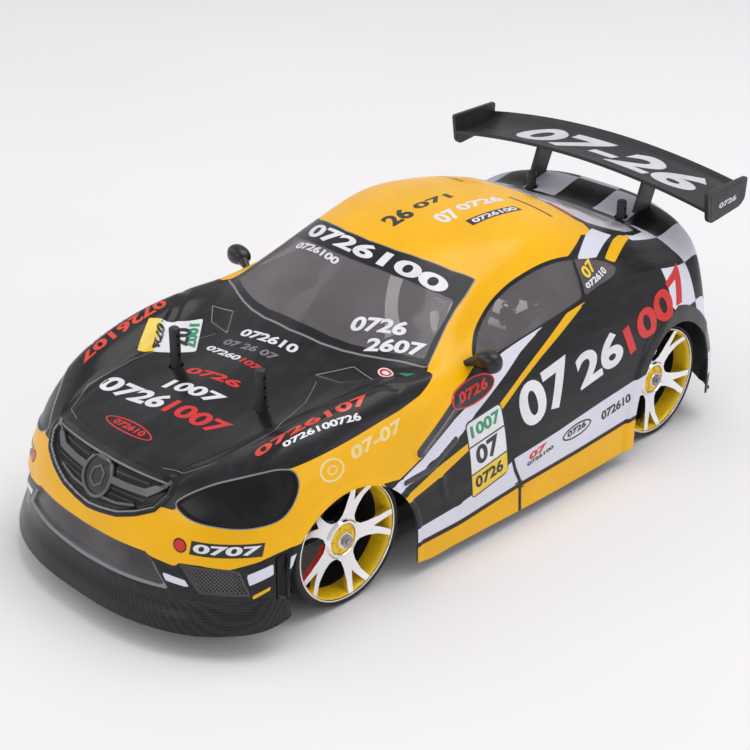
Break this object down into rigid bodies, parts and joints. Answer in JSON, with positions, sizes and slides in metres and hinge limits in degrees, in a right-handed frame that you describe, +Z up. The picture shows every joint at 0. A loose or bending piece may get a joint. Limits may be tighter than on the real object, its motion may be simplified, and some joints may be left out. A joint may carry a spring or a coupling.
{
  "type": "radio control drift car",
  "caption": "Radio control four wheel drive drift car: a painted clip-off body shell with a tall rear wing over a sprung chassis with steering, slick tyres and chrome wheels.",
  "frame": {"origin": "bottom centre of the whole car: on the ground under the middle of its length and width", "axes": "+Z up, the nose points to -Y, +X is the left side of the car"},
  "size_m": [0.217, 0.4326, 0.156],
  "materials": {
    "painted_polycarbonate": "clear polycarbonate painted inside, yellow base with black, white and red graphics, glossy outside",
    "satin_black_plastic": "satin moulded plastic",
    "gloss_black_plastic": "gloss",
    "black_nylon": "fine moulded grain",
    "chrome_plated_plastic": "bright chrome plating with a gold barrel",
    "tyre_plastic": "hard slick drift tyre, satin",
    "steel": "bright steel",
    "aluminium": "brushed",
    "motor_can": "zinc plated can",
    "red_plastic": "semi gloss",
    "blue_shrink_wrap": "shrink wrap film",
    "white_plastic": "moulded",
    "foam": "closed cell foam"
  },
  "bodies": {
    "chassis": {"chassis_plate": "black_nylon", "motor_mount": "aluminium", "foam_bumper": "foam", "front_gearbox": "black_nylon", "rear_gearbox": "black_nylon", "front_shock_tower": "black_nylon", "rear_shock_tower": "black_nylon", "battery_pack": "blue_shrink_wrap", "motor": "motor_can", "speed_controller": "gloss_black_plastic", "receiver": "white_plastic", "steering_servo": "gloss_black_plastic", "body_post_front_left": "black_nylon", "body_post_front_right": "black_nylon", "body_post_rear_left": "black_nylon", "body_post_rear_right": "black_nylon", "shock_front_left": "red_plastic", "shock_front_right": "red_plastic", "shock_rear_left": "red_plastic", "shock_rear_right": "red_plastic"},
    "shell": {"body_shell": "painted_polycarbonate", "rear_wing": "satin_black_plastic", "wing_strut_left": "satin_black_plastic", "wing_strut_right": "satin_black_plastic", "mirror_left": "gloss_black_plastic", "mirror_right": "gloss_black_plastic"},
    "centre_drive": {"spur_gear": "white_plastic", "centre_shaft": "steel"},
    "pinion": {"pinion_gear": "steel"},
    "steering_bar": {"steering_link": "black_nylon"},
    "arm_front_left": {"lower_arm_front_left": "black_nylon"},
    "carrier_front_left": {"hub_carrier_front_left": "black_nylon"},
    "upper_front_left": {"upper_link_front_left": "steel"},
    "knuckle_left": {"steering_knuckle_left": "black_nylon", "brake_caliper_front_left": "red_plastic"},
    "halfshaft_front_left": {"drive_shaft_front_left": "steel"},
    "wheel_front_left": {"rim_front_left": "chrome_plated_plastic", "tyre_front_left": "tyre_plastic"},
    "arm_front_right": {"lower_arm_front_right": "black_nylon"},
    "carrier_front_right": {"hub_carrier_front_right": "black_nylon"},
    "upper_front_right": {"upper_link_front_right": "steel"},
    "knuckle_right": {"steering_knuckle_right": "black_nylon", "brake_caliper_front_right": "red_plastic"},
    "halfshaft_front_right": {"drive_shaft_front_right": "steel"},
    "wheel_front_right": {"rim_front_right": "chrome_plated_plastic", "tyre_front_right": "tyre_plastic"},
    "arm_rear_left": {"lower_arm_rear_left": "black_nylon"},
    "carrier_rear_left": {"hub_carrier_rear_left": "black_nylon", "brake_caliper_rear_left": "red_plastic"},
    "upper_rear_left": {"upper_link_rear_left": "steel"},
    "halfshaft_rear_left": {"drive_shaft_rear_left": "steel"},
    "wheel_rear_left": {"rim_rear_left": "chrome_plated_plastic", "tyre_rear_left": "tyre_plastic"},
    "arm_rear_right": {"lower_arm_rear_right": "black_nylon"},
    "carrier_rear_right": {"hub_carrier_rear_right": "black_nylon", "brake_caliper_rear_right": "red_plastic"},
    "upper_rear_right": {"upper_link_rear_right": "steel"},
    "halfshaft_rear_right": {"drive_shaft_rear_right": "steel"},
    "wheel_rear_right": {"rim_rear_right": "chrome_plated_plastic", "tyre_rear_right": "tyre_plastic"}
  },
  "joints": [
    {"name": "body_lift", "type": "slide", "parent": "chassis", "child": "shell", "axis": [0, 0, 1], "range_m": [0, 0.12]},
    {"name": "centre_drive_spin", "type": "hinge", "parent": "chassis", "child": "centre_drive", "pos_m": [0, 0.06325, 0.038], "axis": [0, 1, 0], "continuous": true},
    {"name": "pinion_spin", "type": "hinge", "parent": "chassis", "child": "pinion", "pos_m": [0.028, 0.06325, 0.0294], "axis": [0, 1, 0], "continuous": true},
    {"name": "steering_slide", "type": "slide", "parent": "chassis", "child": "steering_bar", "axis": [1, 0, 0], "range_m": [-0.008, 0.008]},
    {"name": "suspension_front_left", "type": "hinge", "parent": "chassis", "child": "arm_front_left", "pos_m": [0.024, -0.11125, 0.02], "axis": [0, -1, 0], "range_deg": [-4, 4], "stiffness_Nm_per_rad": 1.2, "springref_deg": -3.44, "deforming": ["shock_front_left"]},
    {"name": "carrier_pivot_front_left", "type": "hinge", "parent": "arm_front_left", "child": "carrier_front_left", "pos_m": [0.054, -0.11125, 0.02], "axis": [0, -1, 0], "range_deg": [-5, 5]},
    {"name": "upper_pivot_front_left", "type": "hinge", "parent": "chassis", "child": "upper_front_left", "pos_m": [0.024, -0.11125, 0.051], "axis": [0, -1, 0], "range_deg": [-5, 5]},
    {"name": "steer_left", "type": "hinge", "parent": "carrier_front_left", "child": "knuckle_left", "pos_m": [0.063, -0.11125, 0.0365], "axis": [0, 0, 1], "range_deg": [-20, 20]},
    {"name": "wheel_spin_front_left", "type": "hinge", "parent": "knuckle_left", "child": "wheel_front_left", "pos_m": [0.081, -0.11125, 0.0365], "axis": [1, 0, 0], "continuous": true},
    {"name": "halfshaft_spin_front_left", "type": "hinge", "parent": "chassis", "child": "halfshaft_front_left", "pos_m": [0.038, -0.11125, 0.0365], "axis": [1, 0, 0], "continuous": true},
    {"name": "suspension_front_right", "type": "hinge", "parent": "chassis", "child": "arm_front_right", "pos_m": [-0.024, -0.11125, 0.02], "axis": [0, 1, 0], "range_deg": [-4, 4], "stiffness_Nm_per_rad": 1.2, "springref_deg": -3.44, "deforming": ["shock_front_right"]},
    {"name": "carrier_pivot_front_right", "type": "hinge", "parent": "arm_front_right", "child": "carrier_front_right", "pos_m": [-0.054, -0.11125, 0.02], "axis": [0, 1, 0], "range_deg": [-5, 5]},
    {"name": "upper_pivot_front_right", "type": "hinge", "parent": "chassis", "child": "upper_front_right", "pos_m": [-0.024, -0.11125, 0.051], "axis": [0, 1, 0], "range_deg": [-5, 5]},
    {"name": "steer_right", "type": "hinge", "parent": "carrier_front_right", "child": "knuckle_right", "pos_m": [-0.063, -0.11125, 0.0365], "axis": [0, 0, 1], "range_deg": [-21, 21]},
    {"name": "wheel_spin_front_right", "type": "hinge", "parent": "knuckle_right", "child": "wheel_front_right", "pos_m": [-0.081, -0.11125, 0.0365], "axis": [1, 0, 0], "continuous": true},
    {"name": "halfshaft_spin_front_right", "type": "hinge", "parent": "chassis", "child": "halfshaft_front_right", "pos_m": [-0.038, -0.11125, 0.0365], "axis": [1, 0, 0], "continuous": true},
    {"name": "suspension_rear_left", "type": "hinge", "parent": "chassis", "child": "arm_rear_left", "pos_m": [0.024, 0.14675, 0.02], "axis": [0, -1, 0], "range_deg": [-4, 4], "stiffness_Nm_per_rad": 1.2, "springref_deg": -3.44, "deforming": ["shock_rear_left"]},
    {"name": "carrier_pivot_rear_left", "type": "hinge", "parent": "arm_rear_left", "child": "carrier_rear_left", "pos_m": [0.054, 0.14675, 0.02], "axis": [0, -1, 0], "range_deg": [-5, 5]},
    {"name": "upper_pivot_rear_left", "type": "hinge", "parent": "chassis", "child": "upper_rear_left", "pos_m": [0.024, 0.14675, 0.051], "axis": [0, -1, 0], "range_deg": [-5, 5]},
    {"name": "wheel_spin_rear_left", "type": "hinge", "parent": "carrier_rear_left", "child": "wheel_rear_left", "pos_m": [0.081, 0.14675, 0.0365], "axis": [1, 0, 0], "continuous": true},
    {"name": "halfshaft_spin_rear_left", "type": "hinge", "parent": "chassis", "child": "halfshaft_rear_left", "pos_m": [0.038, 0.14675, 0.0365], "axis": [1, 0, 0], "continuous": true},
    {"name": "suspension_rear_right", "type": "hinge", "parent": "chassis", "child": "arm_rear_right", "pos_m": [-0.024, 0.14675, 0.02], "axis": [0, 1, 0], "range_deg": [-4, 4], "stiffness_Nm_per_rad": 1.2, "springref_deg": -3.44, "deforming": ["shock_rear_right"]},
    {"name": "carrier_pivot_rear_right", "type": "hinge", "parent": "arm_rear_right", "child": "carrier_rear_right", "pos_m": [-0.054, 0.14675, 0.02], "axis": [0, 1, 0], "range_deg": [-5, 5]},
    {"name": "upper_pivot_rear_right", "type": "hinge", "parent": "chassis", "child": "upper_rear_right", "pos_m": [-0.024, 0.14675, 0.051], "axis": [0, 1, 0], "range_deg": [-5, 5]},
    {"name": "wheel_spin_rear_right", "type": "hinge", "parent": "carrier_rear_right", "child": "wheel_rear_right", "pos_m": [-0.081, 0.14675, 0.0365], "axis": [1, 0, 0], "continuous": true},
    {"name": "halfshaft_spin_rear_right", "type": "hinge", "parent": "chassis", "child": "halfshaft_rear_right", "pos_m": [-0.038, 0.14675, 0.0365], "axis": [1, 0, 0], "continuous": true}
  ],
  "couplings": [
    {"joint": "pinion_spin", "follows": "centre_drive_spin", "ratio": -3},
    {"joint": "steering_slide", "follows": "steer_left", "m_per_rad": -0.02},
    {"joint": "steer_right", "follows": "steer_left", "ratio": 1},
    {"joint": "carrier_pivot_front_left", "follows": "suspension_front_left", "ratio": -1},
    {"joint": "upper_pivot_front_left", "follows": "suspension_front_left", "ratio": 1},
    {"joint": "halfshaft_spin_front_left", "follows": "wheel_spin_front_left", "ratio": 1},
    {"joint": "carrier_pivot_front_right", "follows": "suspension_front_right", "ratio": -1},
    {"joint": "upper_pivot_front_right", "follows": "suspension_front_right", "ratio": 1},
    {"joint": "halfshaft_spin_front_right", "follows": "wheel_spin_front_right", "ratio": 1},
    {"joint": "carrier_pivot_rear_left", "follows": "suspension_rear_left", "ratio": -1},
    {"joint": "upper_pivot_rear_left", "follows": "suspension_rear_left", "ratio": 1},
    {"joint": "halfshaft_spin_rear_left", "follows": "wheel_spin_rear_left", "ratio": 1},
    {"joint": "carrier_pivot_rear_right", "follows": "suspension_rear_right", "ratio": -1},
    {"joint": "upper_pivot_rear_right", "follows": "suspension_rear_right", "ratio": 1},
    {"joint": "halfshaft_spin_rear_right", "follows": "wheel_spin_rear_right", "ratio": 1}
  ]
}
